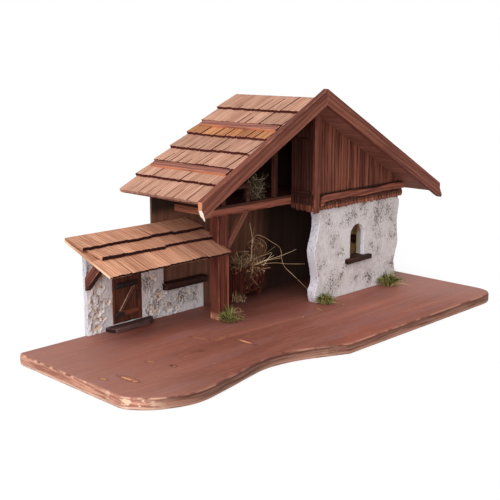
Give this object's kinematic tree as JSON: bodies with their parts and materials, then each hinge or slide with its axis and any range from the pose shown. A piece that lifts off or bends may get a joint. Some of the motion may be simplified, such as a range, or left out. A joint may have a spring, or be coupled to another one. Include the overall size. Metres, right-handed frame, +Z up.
{
  "type": "nativity stable",
  "caption": "Wooden crib stable on a base board: open bay with loft and manger, plastered chamber under a boarded gable, and a lean-to annex with a hinged door, all shingled.",
  "frame": {"origin": "on the ground under the middle of the whole object", "axes": "+X along the base board to the chamber's end, +Y to the back, +Z up"},
  "size_m": [0.8, 0.319, 0.388],
  "materials": {
    "board": "stained pine, satin",
    "timber": "stained softwood, matt",
    "barge": "dark stained softwood, matt",
    "cladding": "dark stained boards, matt",
    "panel": "dark stained plywood, matt",
    "shingle": "split shingles, pale and dry",
    "lath": "stained softwood strips",
    "plaster": "rough white plaster with weathered spots",
    "dark_wood": "nearly black stained wood",
    "door": "dark red-brown stained boards",
    "iron": "blackened iron",
    "hay": "dry stalks",
    "grass": "dyed fibre grass"
  },
  "bodies": {
    "stable": {"base_board": "board", "back_panel": "panel", "side_wall_right": "panel", "front_wall": "plaster", "window_sill": "dark_wood", "gable_panel": "panel", "cladding_front": "cladding", "cladding_left": "cladding", "cladding_right": "cladding", "corner_board": "cladding", "gable_trim": "cladding", "roof_panel_left": "barge", "roof_panel_right": "barge", "roof_shingles_left_upper": "shingle", "roof_shingles_left_middle": "shingle", "roof_shingles_left_lower": "shingle", "roof_shingles_right_upper": "shingle", "roof_shingles_right_middle": "shingle", "roof_shingles_right_lower": "shingle", "roof_lath_left_upper": "lath", "roof_lath_left_lower": "lath", "roof_lath_right_upper": "lath", "roof_lath_right_lower": "lath", "bargeboard_left": "barge", "bargeboard_right": "barge", "front_post": "timber", "loft_beam": "timber", "wall_plate_left": "lath", "knee_brace": "timber", "loft_floor": "panel", "king_post": "timber", "loft_rail": "timber", "annex_wall": "plaster", "annex_sill": "dark_wood", "annex_roof_panel": "lath", "annex_shingles_1": "shingle", "annex_shingles_2": "shingle", "annex_shingles_3": "shingle", "annex_brace": "timber", "door_jamb_left": "door", "door_jamb_right": "door", "door_lintel": "door", "door_step": "dark_wood", "hinge_pintle_bottom": "iron", "hinge_pintle_top": "iron", "manger_end_left": "door", "manger_end_right": "door", "manger_lattice": "door", "manger_hay": "hay", "loft_hay": "hay", "grass_tuft_post": "grass", "grass_tuft_left": "grass", "grass_tuft_right": "grass"},
    "door": {"door_leaf": "door", "door_ledge_bottom": "door", "door_ledge_top": "door", "door_brace": "door", "door_latch": "iron", "hinge_strap_bottom": "iron", "hinge_strap_top": "iron"}
  },
  "joints": [
    {"name": "door_hinge", "type": "hinge", "parent": "stable", "child": "door", "pos_m": [-0.229, 0.1445, 0.066], "axis": [0, 0, -1], "range_deg": [0, 95]}
  ]
}
